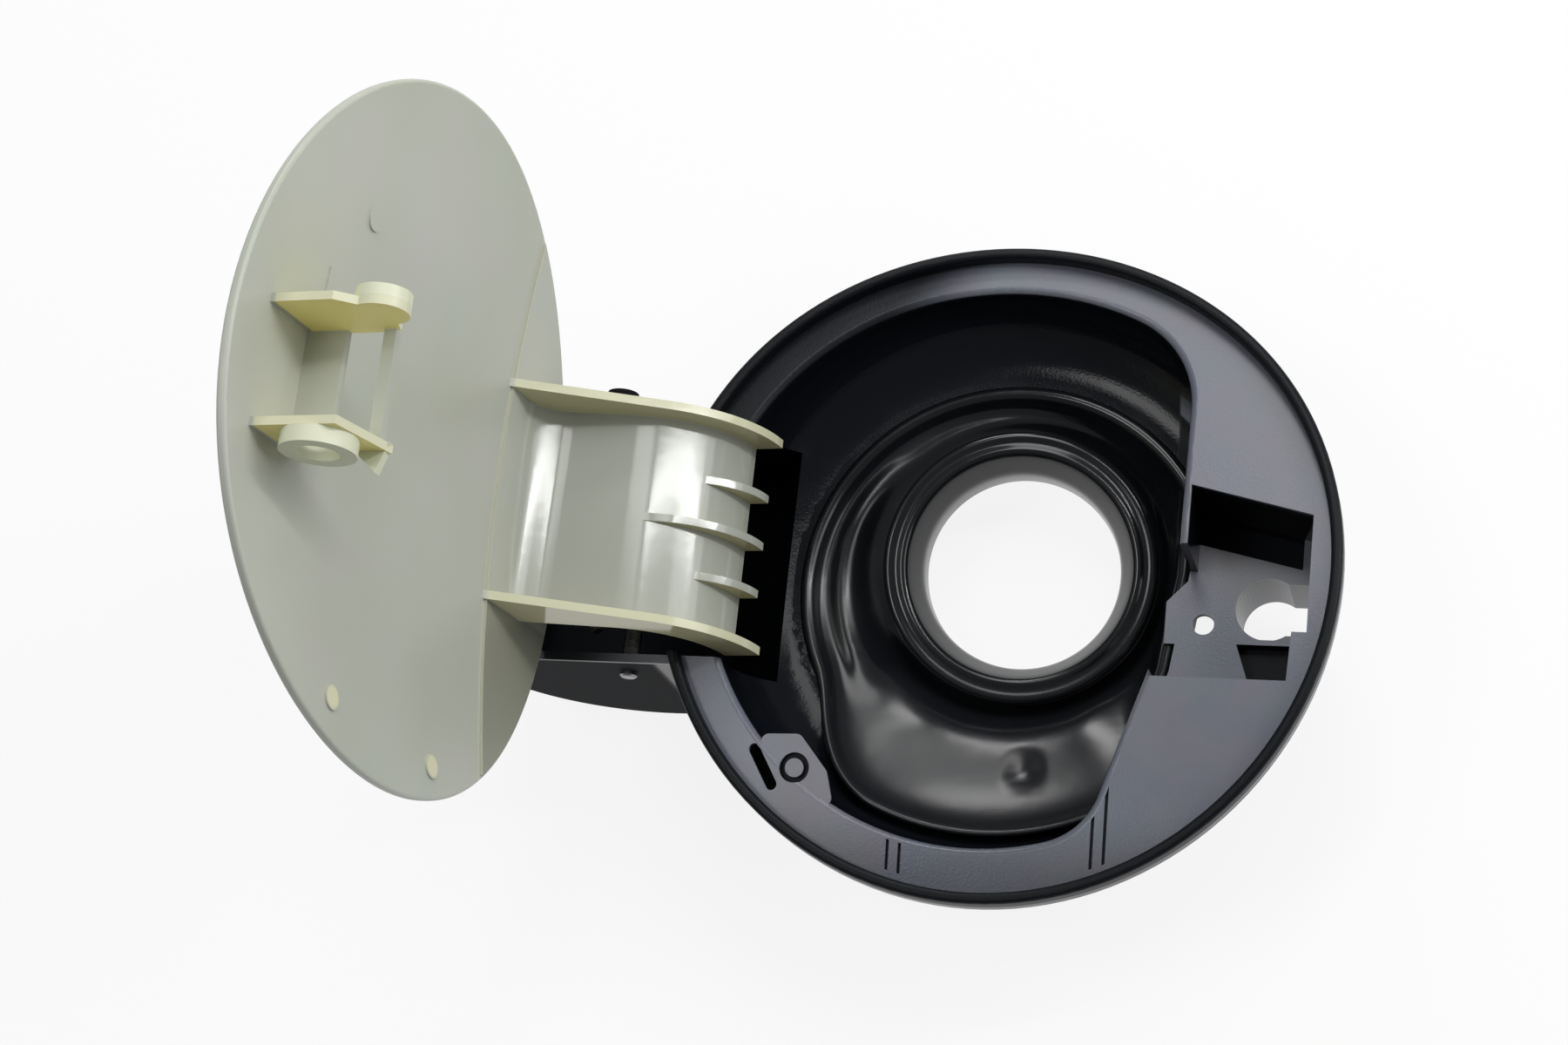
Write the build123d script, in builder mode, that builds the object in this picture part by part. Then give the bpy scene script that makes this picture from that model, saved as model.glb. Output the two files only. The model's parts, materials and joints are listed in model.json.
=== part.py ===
"""Car fuel door: a round flap on a gooseneck arm, in a moulded housing with a rubber filler boot.

Frame: origin at the middle of the rim, on the body's skin. X runs from the hinge to the latch,
Y along the hinge axis and Z out of the car. The flap is drawn shut and placed wide open.
"""

import os
from math import cos, hypot, radians, sin, tan

from build123d import *

# Body side that the rim and the flap follow: a large cylinder
skin_radius = 490.0
skin_turn = -10.0
skin_reach = 170.0

# Rim and flange of the housing
rim_radius = 94.4
lip_width = 3.2
lip_height = 5.0
lip_round = 1.3
flange_thick = 2.4
wall = 2.2

# Bowl behind the flange, with its flat side towards the latch
bowl_x = -1.4
bowl_y = 1.6
bowl_radius = 80.0
bowl_straight_wall = 2.2
bowl_seat_radius = 60.0
bowl_seat_depth = 34.0
bowl_seat_length = 12.0
bowl_flat_x = 50.0
bowl_knee_x = 46.0
bowl_knee_y = -22.0
bowl_slant = 18.0
bowl_top_corner = 30.0
bowl_knee_corner = 5.0
bowl_low_corner = 20.0
bowl_edge_round = 2.0

# Hinge axis, along Y, and how far the flap stands open
hinge_x = -104.4
hinge_z = -18.4
open_angle = 96.9
pin_radius = 2.5
pin_fit = 0.05
pin_head_radius = 5.0
pin_head_thick = 2.6
pin_end = 1.5

# Flap disc, shut: inner face over the skin, and its edge
flap_radius = 92.8
flap_lift = 3.2
flap_thick = 2.8
flap_edge = 1.0
flap_step_x = -50.0
flap_step = 0.6
flap_step_inset = 1.6

# Gooseneck arm: a drum about the hinge axis between two side walls
arm_low_y = -27.5
arm_high_y = 36.0
arm_wall = 2.4
drum_wall_radius = 39.5
drum_radius = 31.5
drum_thick = 2.6
drum_tail_angle = -88.0
drum_lead_angle = -12.0
wall_lead_angle = -28.0
neck_bend = 14.0
hub_radius = 6.5
leg_inset = 10.0
leg_lead_angle = -20.0
rib_radius = 37.0
rib_width = 2.2
rib_pitch = 14.0
rib_sweep_middle = 66.0
rib_sweep_side = 36.0

# Hinge bay round the drum
bay_gap = 2.4
bay_wall = 2.4
bay_mouth_x = -55.0
peg_x = -115.0
peg_z = -14.0
peg_radius = 4.5
peg_length = 9.0

# Striker bracket under the flap's latch side
fin_high_y = 9.4
fin_low_y = -22.0
fin_thick = 2.2
fin_outer_x = 78.6
fin_inner_x = 57.0
fin_outer_reach_z = -14.0
fin_boss_x = 68.5
fin_boss_z = -22.0
fin_boss_radius = 6.9
fin_boss_lift = 3.2
fin_low_reach_z = -24.0
fin_low_fall = 4.0
gusset_drop = 5.5
gusset_tip_z = -21.4
gusset_foot_z = -15.0
striker_thick = 2.4
striker_foot_z = -8.0
striker_bar_top_z = -18.2
striker_bar_end_z = -21.5
boss_x = 70.0
boss_z = -11.5
boss_radius = 9.5
boss_bore = 5.4
boss_length = 4.3

# Round ejector marks and the gate mark on the flap's inner face
pin_mark_places = ((30.0, -77.0), (-22.0, -81.0), (40.0, 45.0))
pin_mark_radius = 3.2
pin_mark_height = 0.6
gate_mark_x = 55.0
gate_mark_y = 22.5
gate_mark_length = 6.5
gate_mark_width = 1.2

# Latch recess beside the bowl, its mouth to the bowl and the ledge of its floor
recess_top_y = 24.0
recess_top_fall = 7.8
recess_low_y = -30.5
recess_right_x = 85.5
recess_step_x = 81.5
recess_step_y = -17.0
recess_low_x = 80.8
recess_floor_z = -31.5
recess_floor_thick = 2.4
mouth_top_y = 7.0
ledge_left_x = 44.0
ledge_high_y = -2.0
ledge_low_y = -14.0
slot_edge_y = 14.9
slot_edge_fall = 6.5
slot_right_x = 81.0
pocket_floor_z = -36.0
pocket_top_y = -13.5
pocket_left_x = 64.0
pocket_slant = 6.0
latch_hole_x = 54.6
latch_hole_y = -8.1
latch_hole_radius = 3.0
key_x = 72.2
key_y = -3.2
key_radius = 9.0
key_slot_half = 7.4
key_slot_end_x = 84.6

# Screw tab on the flange, and the grooves of its tongues
tab_x = -51.4
tab_y = -59.4
tab_points = [(-63.3, -50.5), (-50.4, -50.1), (-42.2, -59.9), (-39.3, -71.0), (-53.7, -65.6)]
tab_thick = 2.4
tab_drop = 0.6
tab_corner = 2.4
tab_ring_radius = 4.2
tab_stud_radius = 2.6
tab_ring_depth = 1.4
tab_slot_x = -60.2
tab_slot_y = -59.6
tab_slot_turn = -60.0
tab_slot_length = 14.0
tab_slot_width = 3.2
tongue_x = (-22.0, 33.6)
tongue_width = 3.4
tongue_groove = 0.9
tongue_groove_depth = 1.4
tongue_inset = 2.4

# Filler boot: a band in the bowl's seat, a funnel and a collar round the filler neck
fit_gap = 0.3
boot_thick = 2.2
boot_seat_z = -37.0
skirt_top_z = -24.0
skirt_left_x = -46.0
skirt_left_y = -38.0
collar_base_radius = 41.0
neck_x = 0.0
neck_y = 10.0
neck_z = -47.0
neck_lean_x = 0.10
neck_lean_y = -0.15
neck_radius = 28.5
mouth_radius = 33.0
mouth_rise = 11.0
sleeve_length = 8.0
collar_lip_radius = 38.5
collar_lip_thick = 3.0

# Hinge spring: wire bent into three runs, between the hub and a seat in the bay
wire_radius = 1.0
spring_run = 40.0
spring_pitch = 10.0
spring_angle = -135.0
spring_seat_thick = 2.4
spring_seat_length = 24.0

os.makedirs("parts", exist_ok=True)

# The flap's shut place carried round the hinge axis to its open place
to_axis = Location((hinge_x, 0, hinge_z))
from_axis = Location((-hinge_x, 0, -hinge_z))
open_place = to_axis * Location((0, 0, 0), (0, -open_angle, 0)) * from_axis
shut_place = Location((0, 0, 0))

turn = radians(skin_turn)
across_skin = Plane(origin=(0, 0, 0), x_dir=(-sin(turn), cos(turn), 0), z_dir=(cos(turn), sin(turn), 0))


def carried(plane, place):
    """The plane, moved as the place moves the origin."""
    return Plane(place * plane.location)


def skin_slab(low, high, place=shut_place):
    """A slab that follows the body's skin, from height low to height high over it."""
    with BuildPart() as slab:
        with BuildSketch(carried(across_skin, place)):
            with Locations((0, -skin_radius)):
                Circle(skin_radius + high)
                Circle(skin_radius + low, mode=Mode.SUBTRACT)
            Rectangle(2 * skin_reach, 2 * skin_reach, mode=Mode.INTERSECT)
        extrude(amount=skin_reach, both=True)
    return slab.part


def skin_disc(low, high, radius, place=shut_place):
    """The round part of such a slab, inside radius."""
    slab = skin_slab(low, high, place)
    with BuildPart() as disc:
        add(slab)
        with BuildSketch(carried(Plane.XY, place)):
            Circle(radius)
        extrude(amount=skin_reach, both=True, mode=Mode.INTERSECT)
    return disc.part


def prism(points, low, high, grow=0.0):
    """An upright prism over an outline, from low to high, grown sideways."""
    with BuildPart() as block:
        with BuildSketch(Plane.XY.offset(low)):
            Polygon(*points, align=None)
            if grow:
                offset(amount=grow, kind=Kind.ARC)
        extrude(amount=high - low)
    return block.part


# Bowl: turned about its own axis and cut to an outline with a flat side
bowl_axis = Axis((bowl_x, bowl_y, 0), (0, 0, 1))
bowl_section = Plane(origin=(bowl_x, bowl_y, 0), x_dir=(1, 0, 0), z_dir=(0, -1, 0))
bowl_foot_z = -bowl_seat_depth - bowl_seat_length
bowl_reach = bowl_radius + hypot(bowl_x, bowl_y)
bowl_straight_depth = lip_height + bowl_reach**2 / (2 * skin_radius) + bowl_straight_wall
above = skin_reach / 4


def bowl_sketch(radius, grow=0.0):
    """The bowl's outline on the ground plane: a circle with a flat and a slanted side."""
    with BuildSketch() as outline:
        with Locations((bowl_x, bowl_y)):
            Circle(radius)
        with BuildLine():
            Polyline(
                (bowl_flat_x, skin_reach),
                (bowl_flat_x, mouth_top_y),
                (bowl_knee_x, bowl_knee_y),
                (bowl_knee_x - skin_reach * tan(radians(bowl_slant)), bowl_knee_y - skin_reach),
                (skin_reach, bowl_knee_y - skin_reach),
                (skin_reach, skin_reach),
                close=True,
            )
        make_face(mode=Mode.SUBTRACT)
        fillet(outline.vertices().sort_by(Axis.Y)[-1], radius=bowl_top_corner)
        fillet(outline.vertices().sort_by(Axis.Y)[0], radius=bowl_low_corner)
        for corner in ((bowl_knee_x, bowl_knee_y), (bowl_flat_x, mouth_top_y)):
            fillet(outline.vertices().sort_by_distance(corner)[0], radius=bowl_knee_corner)
        if grow:
            offset(amount=grow)
    return outline.sketch


def bowl_solid(grow, foot):
    """The bowl filled in, with the seat of the boot below it."""
    floor_z = -bowl_seat_depth - grow
    with BuildPart() as bowl:
        with BuildSketch(bowl_section):
            with BuildLine():
                Polyline(
                    (bowl_seat_radius, floor_z),
                    (0, floor_z),
                    (0, above),
                    (bowl_radius + grow, above),
                    (bowl_radius + grow, -bowl_straight_depth),
                )
                EllipticalCenterArc(
                    (bowl_seat_radius, -bowl_straight_depth),
                    bowl_radius - bowl_seat_radius + grow,
                    bowl_seat_depth - bowl_straight_depth + grow,
                    start_angle=-90,
                    arc_size=90,
                )
            make_face()
        revolve(axis=bowl_axis)
        with BuildSketch(Plane.XY.offset(foot)):
            with Locations((bowl_x, bowl_y)):
                Circle(bowl_seat_radius + grow)
        extrude(amount=-bowl_straight_depth - foot)
        with BuildSketch():
            add(bowl_sketch(bowl_radius, grow))
        extrude(amount=skin_reach, both=True, mode=Mode.INTERSECT)
    return bowl.part


bowl_form = bowl_solid(wall, bowl_foot_z)
bowl_hollow = bowl_solid(0.0, bowl_foot_z - wall)

# Hinge bay: a drum about the hinge axis, open upwards and towards the bowl
bay_radius = drum_wall_radius + bay_gap
bay_low_y = arm_low_y - bay_gap
bay_high_y = arm_high_y + bay_gap


def bay_solid(radius, low_y, high_y):
    """The bay filled in."""
    with BuildPart() as bay:
        with BuildSketch(Plane.XZ.offset(-high_y)):
            with Locations((hinge_x, hinge_z)):
                Circle(radius)
            with BuildLine():
                Polyline(
                    (hinge_x - radius, hinge_z),
                    (bay_mouth_x, hinge_z),
                    (bay_mouth_x, above),
                    (hinge_x - radius, above),
                    close=True,
                )
            make_face()
        extrude(amount=high_y - low_y)
    return bay.part


bay_form = bay_solid(bay_radius + bay_wall, bay_low_y - bay_wall, bay_high_y + bay_wall)
bay_hollow = bay_solid(bay_radius, bay_low_y, bay_high_y)

# Latch recess: outlines on the ground plane
recess_left_x = bowl_flat_x + wall
recess_slope = recess_top_fall / (recess_right_x - recess_left_x)
slot_slope = slot_edge_fall / (slot_right_x - recess_left_x)
recess_points = [
    (recess_left_x, recess_top_y),
    (recess_right_x, recess_top_y - recess_top_fall),
    (recess_right_x, recess_step_y),
    (recess_step_x, recess_step_y),
    (recess_low_x, recess_low_y),
    (recess_left_x, recess_low_y),
]
slot_points = [
    (recess_left_x, recess_top_y),
    (slot_right_x, recess_top_y - recess_slope * (slot_right_x - recess_left_x)),
    (slot_right_x, slot_edge_y - slot_slope * (slot_right_x - recess_left_x)),
    (recess_left_x, slot_edge_y),
]
pocket_points = [
    (pocket_left_x, pocket_top_y),
    (recess_step_x, pocket_top_y),
    (recess_step_x, recess_step_y),
    (recess_low_x, recess_low_y),
    (pocket_left_x + pocket_slant, recess_low_y),
]
mouth_points = [
    (ledge_left_x, mouth_top_y),
    (recess_left_x, mouth_top_y),
    (recess_left_x, recess_low_y),
    (ledge_left_x, recess_low_y),
]
ledge_points = [
    (ledge_left_x, ledge_high_y),
    (recess_left_x, mouth_top_y),
    (recess_left_x, recess_low_y),
    (bowl_knee_x + wall / 2, recess_low_y),
    (bowl_knee_x + wall / 2, ledge_low_y),
    (ledge_left_x, ledge_low_y),
]
recess_form = prism(recess_points, recess_floor_z - recess_floor_thick, above, wall)
slot_form = prism(slot_points, pocket_floor_z - wall, recess_floor_z, wall)
pocket_form = prism(pocket_points, pocket_floor_z - wall, recess_floor_z, wall)
recess_hollow = prism(recess_points, recess_floor_z, above)
slot_hollow = prism(slot_points, pocket_floor_z, above)
pocket_hollow = prism(pocket_points, pocket_floor_z, above)
mouth_hollow = prism(mouth_points, recess_floor_z, above)
ledge = prism(ledge_points, recess_floor_z - recess_floor_thick, recess_floor_z)

# Rim, and the flange inside it that follows the skin
flange_edge_radius = rim_radius - lip_width
rim_disc = skin_disc(-lip_height - flange_thick, 0, rim_radius)
lip_well = skin_disc(-lip_height, above, flange_edge_radius)
under_flange = skin_slab(-skin_reach / 2, -lip_height)
flange_slab = skin_slab(-lip_height - flange_thick, -lip_height)
tab_slab = skin_slab(-lip_height - tab_drop - tab_thick, -lip_height - tab_drop)
tab_groove_slab = skin_slab(-lip_height - tab_drop - tab_ring_depth, 0)
tongue_slab = skin_slab(-lip_height - tongue_groove_depth, 0)
flange_middle = (bowl_flat_x + flange_edge_radius) / 2
on_flange = (flange_middle * cos(turn), flange_middle * sin(turn), -lip_height)
edge_room = min(bowl_straight_wall, flange_edge_radius - bowl_reach)
tab_plane = Plane(origin=(tab_x, tab_y, 0))

with BuildPart() as rim:
    add(rim_disc)
    add(lip_well, mode=Mode.SUBTRACT)
    fillet(rim.edges().sort_by(Axis.Z)[-2:], radius=min(lip_round, 0.45 * lip_width))

with BuildPart() as tab:
    add(tab_slab)
    with BuildSketch() as tab_outline:
        Polygon(*tab_points, align=None)
        fillet(tab_outline.vertices(), radius=tab_corner)
    extrude(amount=skin_reach / 2, both=True, mode=Mode.INTERSECT)

with BuildPart() as tab_groove:
    add(tab_groove_slab)
    with BuildSketch(tab_plane):
        Circle(tab_ring_radius)
        Circle(tab_stud_radius, mode=Mode.SUBTRACT)
    extrude(amount=skin_reach / 2, both=True, mode=Mode.INTERSECT)

tongue_reach = flange_edge_radius - tongue_inset
with BuildPart() as tongue_grooves:
    add(tongue_slab)
    with BuildSketch():
        for x in tongue_x:
            for side in (-1, 1):
                with Locations((x + side * tongue_width / 2, -tongue_reach / 2)):
                    Rectangle(tongue_groove, tongue_reach)
        Circle(tongue_reach, mode=Mode.INTERSECT)
    extrude(amount=skin_reach / 2, both=True, mode=Mode.INTERSECT)
    add(bowl_form, mode=Mode.SUBTRACT)

with BuildPart() as tab_slot:
    add(flange_slab)
    with BuildSketch():
        with Locations(Location((tab_slot_x, tab_slot_y), tab_slot_turn)):
            SlotOverall(tab_slot_length, tab_slot_width)
    extrude(amount=skin_reach / 2, both=True, mode=Mode.INTERSECT)
    add(bowl_form, mode=Mode.SUBTRACT)

# Seat of the spring: a rib in the bay, short of the spring's last run
spring_near = hub_radius + fit_gap + wire_radius
spring_far = spring_near + 2 * spring_pitch
spring_mid_y = (arm_low_y + arm_high_y) / 2
seat_start = spring_far + wire_radius + fit_gap
seat_length = bay_radius + bay_wall / 2 - seat_start

with BuildPart() as housing:
    add(bowl_form)
    add(bay_form)
    add(recess_form)
    add(slot_form)
    add(pocket_form)
    add(under_flange, mode=Mode.INTERSECT)
    add(rim.part)
    add(bowl_hollow, mode=Mode.SUBTRACT)
    # Round the bowl's edge while the flange is whole
    flange_top = housing.faces().filter_by(GeomType.CYLINDER).sort_by_distance(on_flange)[0]
    fillet(flange_top.inner_wires()[0].edges(), radius=min(bowl_edge_round, 0.95 * edge_room))
    add(bay_hollow, mode=Mode.SUBTRACT)
    add(recess_hollow, mode=Mode.SUBTRACT)
    add(slot_hollow, mode=Mode.SUBTRACT)
    add(pocket_hollow, mode=Mode.SUBTRACT)
    add(mouth_hollow, mode=Mode.SUBTRACT)
    add(ledge)
    add(tab.part)
    add(tab_groove.part, mode=Mode.SUBTRACT)
    add(tongue_grooves.part, mode=Mode.SUBTRACT)
    add(tab_slot.part, mode=Mode.SUBTRACT)
    # Latch screw hole, and the keyhole for the bolt
    with BuildSketch(Plane.XY.offset(recess_floor_z)):
        with Locations((latch_hole_x, latch_hole_y)):
            Circle(latch_hole_radius)
        with Locations((key_x, key_y)):
            Circle(key_radius)
        with Locations(((key_x + key_slot_end_x) / 2, key_y)):
            Rectangle(key_slot_end_x - key_x, 2 * key_slot_half)
    extrude(amount=recess_floor_thick, both=True, mode=Mode.SUBTRACT)
    # Rib that seats the hinge spring
    with BuildSketch(Plane.XZ.offset(-spring_mid_y - spring_seat_length / 2)):
        with Locations(Location((hinge_x, hinge_z), spring_angle)):
            with Locations((seat_start + seat_length / 2, 0)):
                Rectangle(seat_length, spring_seat_thick)
    extrude(amount=spring_seat_length)
    # Peg on the bay's upper end wall
    with BuildSketch(Plane.XZ.offset(-bay_high_y - bay_wall - peg_length)):
        with Locations((peg_x, peg_z)):
            Circle(peg_radius)
    extrude(amount=peg_length)
    # Pin holes through the bay's end walls
    with BuildSketch(Plane.XZ.offset(-bay_high_y - bay_wall)):
        with Locations((hinge_x, hinge_z)):
            Circle(pin_radius + pin_fit)
    extrude(amount=bay_high_y - bay_low_y + 2 * bay_wall, mode=Mode.SUBTRACT)
housing.part.label = "housing"
export_step(housing.part, "parts/housing.step")

# Flap, drawn shut: heights where the arm and the bracket root in the disc
root_z = flap_lift + flap_thick / 2
drum_inner = drum_radius - drum_thick
lead = radians(drum_lead_angle)
wall_lead = radians(wall_lead_angle)


def on_arc(radius, degrees):
    """A point about the hinge axis, on the XZ plane."""
    angle = radians(degrees)
    return (hinge_x + radius * cos(angle), hinge_z + radius * sin(angle))


def up_from(point, heading):
    """The point straight on from there, at heading in radians, at the root's height."""
    rise = root_z - point[1]
    return (point[0] + rise / tan(heading), root_z)


def arm_plane(y):
    """The XZ plane through y, on the open flap, facing down the hinge axis."""
    return carried(Plane.XZ.offset(-y), open_place)


flap_disc = skin_disc(flap_lift, flap_lift + flap_thick, flap_radius, open_place)
step_disc = skin_disc(flap_lift - flap_step, root_z, flap_radius - flap_step_inset, open_place)
with BuildPart() as hinge_step:
    add(step_disc)
    with BuildSketch(carried(Plane.XY, open_place)):
        with Locations((flap_step_x - skin_reach / 2, 0)):
            Rectangle(skin_reach, 2 * skin_reach)
    extrude(amount=skin_reach, both=True, mode=Mode.INTERSECT)

mark_slab = skin_slab(flap_lift - pin_mark_height, root_z, open_place)
with BuildPart() as face_marks:
    add(mark_slab)
    with BuildSketch(carried(Plane.XY, open_place)):
        with Locations(*pin_mark_places):
            Circle(pin_mark_radius)
        with Locations((gate_mark_x, gate_mark_y)):
            Rectangle(gate_mark_width, gate_mark_length)
    extrude(amount=skin_reach, both=True, mode=Mode.INTERSECT)

tail_inner = on_arc(drum_inner, drum_tail_angle)
tail_outer = on_arc(drum_radius, drum_tail_angle)
lead_outer = on_arc(drum_radius, drum_lead_angle)
lead_inner = on_arc(drum_inner, drum_lead_angle)
plate_heading = lead + radians(90)
plate_outer_top = up_from(lead_outer, plate_heading)
plate_inner_top = up_from(lead_inner, plate_heading)
drum_middle = (drum_radius + drum_inner) / 2
leg_tail = on_arc(drum_middle, drum_tail_angle)
leg_lead = on_arc(drum_middle, leg_lead_angle)
wall_tail = on_arc(drum_wall_radius, drum_tail_angle)
wall_start = on_arc(drum_wall_radius, wall_lead_angle)
wall_top = up_from(wall_start, wall_lead + radians(90))
arm_length = arm_high_y - arm_low_y

with BuildPart() as fuel_flap:
    add(flap_disc)
    fillet(fuel_flap.edges().sort_by(SortBy.LENGTH)[-2:], radius=flap_edge)
    add(hinge_step.part)
    # Drum plate and neck, with the bend where it meets the disc
    with BuildSketch(arm_plane(arm_high_y)) as plate_section:
        with BuildLine():
            CenterArc((hinge_x, hinge_z), drum_radius, drum_tail_angle, drum_lead_angle - drum_tail_angle)
            Polyline(lead_outer, plate_outer_top, plate_inner_top, lead_inner)
            CenterArc((hinge_x, hinge_z), drum_inner, drum_tail_angle, drum_lead_angle - drum_tail_angle)
            Line(tail_inner, tail_outer)
        make_face()
        with BuildLine():
            Polyline(
                (plate_inner_top[0], flap_lift),
                (plate_outer_top[0] + 2 * neck_bend, flap_lift),
                (plate_outer_top[0] + 2 * neck_bend, root_z),
                (plate_inner_top[0], root_z),
                close=True,
            )
        make_face()
        neck_corner = plate_section.vertices().sort_by_distance(up_from(lead_outer, plate_heading))
        bend_corner = [v for v in neck_corner if abs(v.Y - flap_lift) < flap_edge / 10][0]
        fillet(bend_corner, radius=neck_bend)
    extrude(amount=arm_length)
    # Side walls that stand out past the plate, from the disc round to the tail
    for top_y in (arm_high_y, arm_low_y + arm_wall):
        with BuildSketch(arm_plane(top_y)):
            with BuildLine():
                CenterArc(
                    (hinge_x, hinge_z), drum_wall_radius, drum_tail_angle, wall_lead_angle - drum_tail_angle
                )
                Polyline(wall_start, wall_top, plate_inner_top, lead_inner)
                CenterArc((hinge_x, hinge_z), drum_inner, drum_tail_angle, drum_lead_angle - drum_tail_angle)
                Line(tail_inner, wall_tail)
            make_face()
        extrude(amount=arm_wall)
    # Legs from the plate in to the hub
    for top_y in (arm_high_y - leg_inset, arm_low_y + leg_inset + arm_wall):
        with BuildSketch(arm_plane(top_y)):
            with BuildLine():
                CenterArc((hinge_x, hinge_z), drum_middle, drum_tail_angle, leg_lead_angle - drum_tail_angle)
                Polyline(leg_lead, (hinge_x, hinge_z), leg_tail)
            make_face()
        extrude(amount=arm_wall)
    # Ribs on the drum, rising towards its tail
    for side, rib_sweep in ((-1, rib_sweep_side), (0, rib_sweep_middle), (1, rib_sweep_side)):
        rib_top_y = (arm_high_y + arm_low_y + rib_width) / 2 + side * rib_pitch
        rib_middle_radius = (drum_radius + 3 * rib_radius) / 4
        rib_start = on_arc(drum_radius, drum_tail_angle + rib_sweep)
        rib_middle = on_arc(rib_middle_radius, drum_tail_angle + rib_sweep / 2)
        rib_tip = on_arc(rib_radius, drum_tail_angle)
        with BuildSketch(arm_plane(rib_top_y)):
            with BuildLine():
                ThreePointArc(rib_start, rib_middle, rib_tip)
                Line(rib_tip, tail_inner)
                CenterArc((hinge_x, hinge_z), drum_inner, drum_tail_angle, rib_sweep)
                Line(on_arc(drum_inner, drum_tail_angle + rib_sweep), rib_start)
            make_face()
        extrude(amount=rib_width)
    # Hub between the legs
    with BuildSketch(arm_plane(arm_high_y - leg_inset)):
        with Locations((hinge_x, hinge_z)):
            Circle(hub_radius)
    extrude(amount=arm_length - 2 * leg_inset)
    # Upper fin of the striker bracket, with a round boss at its end
    with BuildSketch(arm_plane(fin_high_y)):
        with BuildLine():
            Polyline(
                (fin_outer_x, root_z),
                (fin_inner_x, root_z),
                (fin_inner_x, striker_bar_end_z),
                (fin_boss_x, fin_boss_z - fin_boss_radius / 2),
                (fin_boss_x + fin_boss_radius / 2, fin_boss_z),
                (fin_outer_x, fin_outer_reach_z),
                close=True,
            )
        make_face()
        with Locations((fin_boss_x, fin_boss_z)):
            Circle(fin_boss_radius)
    extrude(amount=fin_thick)
    with BuildSketch(arm_plane(fin_high_y + fin_boss_lift)):
        with Locations((fin_boss_x, fin_boss_z)):
            Circle(fin_boss_radius)
    extrude(amount=fin_boss_lift)
    # Lower fin, with the bored boss under it
    with BuildSketch(arm_plane(fin_low_y)):
        with BuildLine():
            Polyline(
                (fin_outer_x, root_z),
                (fin_inner_x, root_z),
                (fin_inner_x, fin_low_reach_z),
                (fin_outer_x, fin_low_reach_z + fin_low_fall),
                close=True,
            )
        make_face()
    extrude(amount=fin_thick)
    with BuildSketch(arm_plane(fin_low_y - fin_thick)):
        with Locations((boss_x, boss_z)):
            Circle(boss_radius)
    extrude(amount=boss_length)
    with BuildSketch(arm_plane(fin_low_y)):
        with Locations((boss_x, boss_z)):
            Circle(boss_bore)
    extrude(amount=fin_thick + boss_length, mode=Mode.SUBTRACT)
    # Striker: the wall between the fins, with a window above its bar
    with BuildSketch(carried(Plane.YZ.offset(fin_inner_x), open_place)):
        with BuildLine():
            Polyline(
                (fin_low_y, root_z),
                (fin_high_y - fin_thick, root_z),
                (fin_high_y - fin_thick, striker_bar_end_z),
                (fin_low_y, striker_bar_end_z),
                close=True,
            )
        make_face()
        with BuildLine():
            Polyline(
                (fin_low_y, striker_foot_z),
                (fin_high_y - fin_thick, striker_foot_z),
                (fin_high_y - fin_thick, striker_bar_top_z),
                (fin_low_y, striker_bar_top_z),
                close=True,
            )
        make_face(mode=Mode.SUBTRACT)
    extrude(amount=striker_thick)
    # Gusset under the lower fin, at the striker
    with BuildSketch(carried(Plane.YZ.offset(fin_inner_x), open_place)):
        with BuildLine():
            Polyline(
                (fin_low_y, fin_low_reach_z),
                (fin_low_y - fin_thick - gusset_drop, gusset_tip_z),
                (fin_low_y - fin_thick, gusset_foot_z),
                (fin_low_y, gusset_foot_z),
                close=True,
            )
        make_face()
    extrude(amount=striker_thick)
    add(face_marks.part)
    # Bore for the pin
    with BuildSketch(arm_plane(arm_high_y)):
        with Locations((hinge_x, hinge_z)):
            Circle(pin_radius + pin_fit)
    extrude(amount=arm_length, mode=Mode.SUBTRACT)
fuel_flap.part.label = "fuel_flap"
export_step(fuel_flap.part, "parts/fuel_flap.step")

# Filler boot: planes of the band's foot and of the collar
neck_plane = Plane(
    origin=(neck_x, neck_y, neck_z), x_dir=(1, 0, -neck_lean_x), z_dir=(neck_lean_x, neck_lean_y, 1)
)
neck_section = Plane(origin=neck_plane.origin, x_dir=neck_plane.x_dir, z_dir=-neck_plane.y_dir)
band_foot_z = bowl_foot_z
band_top_z = -bowl_seat_depth - fit_gap


def funnel_solid(lift):
    """The boot's floor filled in, from the band down to the collar, lifted by lift."""
    with BuildPart() as funnel:
        with BuildSketch(Plane.XY.offset(boot_seat_z + lift)):
            with Locations((bowl_x, bowl_y)):
                Circle(bowl_seat_radius)
        with BuildSketch(carried(neck_plane, Location((0, 0, lift)))):
            Circle(collar_base_radius)
        loft()
    return funnel.part


funnel_form = funnel_solid(0.0)
funnel_hollow = funnel_solid(boot_thick)
with BuildPart() as funnel:
    add(funnel_form)
    add(funnel_hollow, mode=Mode.SUBTRACT)
    with BuildSketch():
        add(bowl_sketch(bowl_seat_radius, -fit_gap))
    extrude(amount=skin_reach, both=True, mode=Mode.INTERSECT)

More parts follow.
